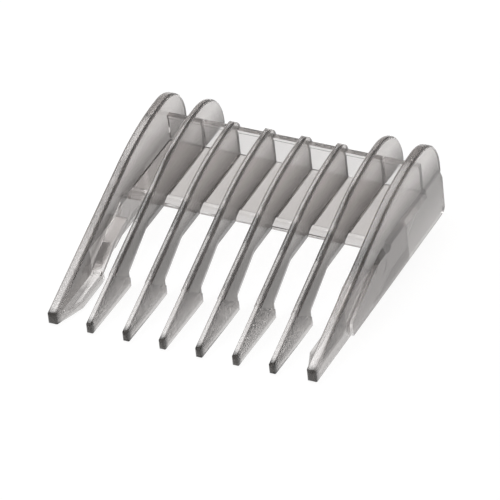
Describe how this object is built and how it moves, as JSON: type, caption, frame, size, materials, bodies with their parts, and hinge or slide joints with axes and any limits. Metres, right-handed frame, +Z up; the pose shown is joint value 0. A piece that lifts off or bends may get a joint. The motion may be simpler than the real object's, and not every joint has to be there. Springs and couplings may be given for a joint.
{
  "type": "hair clipper guide comb",
  "caption": "Slip-on guide comb for a hair clipper: a row of long tapered teeth on a deck, with side skirts and rails that grip the blade head.",
  "frame": {"origin": "centre of the comb's footprint, on the surface that it rests on", "axes": "+X across the row of teeth, -Y towards the tips, +Z up and away from the blade"},
  "size_m": [0.045, 0.0472, 0.0144],
  "materials": {
    "smoked_plastic": "smoked translucent gloss"
  },
  "bodies": {
    "root": {"blade_ledge_left": "smoked_plastic", "blade_ledge_right": "smoked_plastic", "deck_front_lip": "smoked_plastic", "deck_plate": "smoked_plastic", "guide_rail_left": "smoked_plastic", "guide_rail_right": "smoked_plastic", "rear_wall": "smoked_plastic", "rear_wall_rim": "smoked_plastic", "shoulder_left": "smoked_plastic", "shoulder_right": "smoked_plastic", "skirt_left": "smoked_plastic", "skirt_right": "smoked_plastic", "tip_pad_left": "smoked_plastic", "tip_pad_right": "smoked_plastic", "tooth_1": "smoked_plastic", "tooth_2": "smoked_plastic", "tooth_3": "smoked_plastic", "tooth_4": "smoked_plastic", "tooth_5": "smoked_plastic", "tooth_6": "smoked_plastic", "tooth_7": "smoked_plastic", "tooth_8": "smoked_plastic"}
  },
  "joints": []
}
